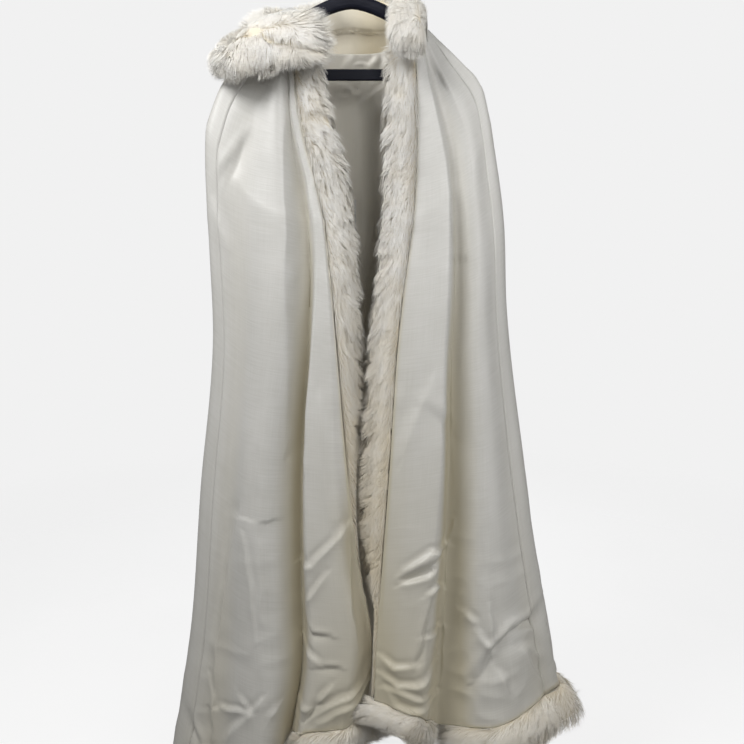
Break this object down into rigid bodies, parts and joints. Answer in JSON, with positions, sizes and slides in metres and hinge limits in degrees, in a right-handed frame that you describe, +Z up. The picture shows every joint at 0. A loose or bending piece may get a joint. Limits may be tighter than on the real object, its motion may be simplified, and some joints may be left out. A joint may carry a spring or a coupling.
{
  "type": "bridal cape on a clothes hanger",
  "caption": "Long hooded satin cape edged with fur, hanging open at the front on a dark plastic hanger.",
  "frame": {"origin": "the inside top of the hanger's hook, where a rail holds it", "axes": "+Z up, the open front faces -Y, +X is the viewer's right"},
  "size_m": [0.8778, 0.4502, 1.6913],
  "materials": {
    "satin": "ivory satin, soft sheen",
    "lining": "beige satin lining, in shade",
    "fur": "warm cream fur, short dense pile",
    "plastic": "near-black navy plastic, soft gloss",
    "steel": "plain wire"
  },
  "bodies": {
    "root": {"front_left": "satin", "back": "satin", "front_right": "satin", "hood": "satin", "lining_back": "lining", "hood_lining": "lining", "fur_hood": "fur", "fur_front_left": "fur", "fur_front_right": "fur", "fur_hem_front_left": "fur", "fur_hem_left": "fur", "fur_hem_back": "fur", "fur_hem_right": "fur", "fur_hem_front_right": "fur", "hanger_arms": "plastic", "hanger_bar": "plastic", "hanger_hook": "steel"}
  },
  "joints": []
}
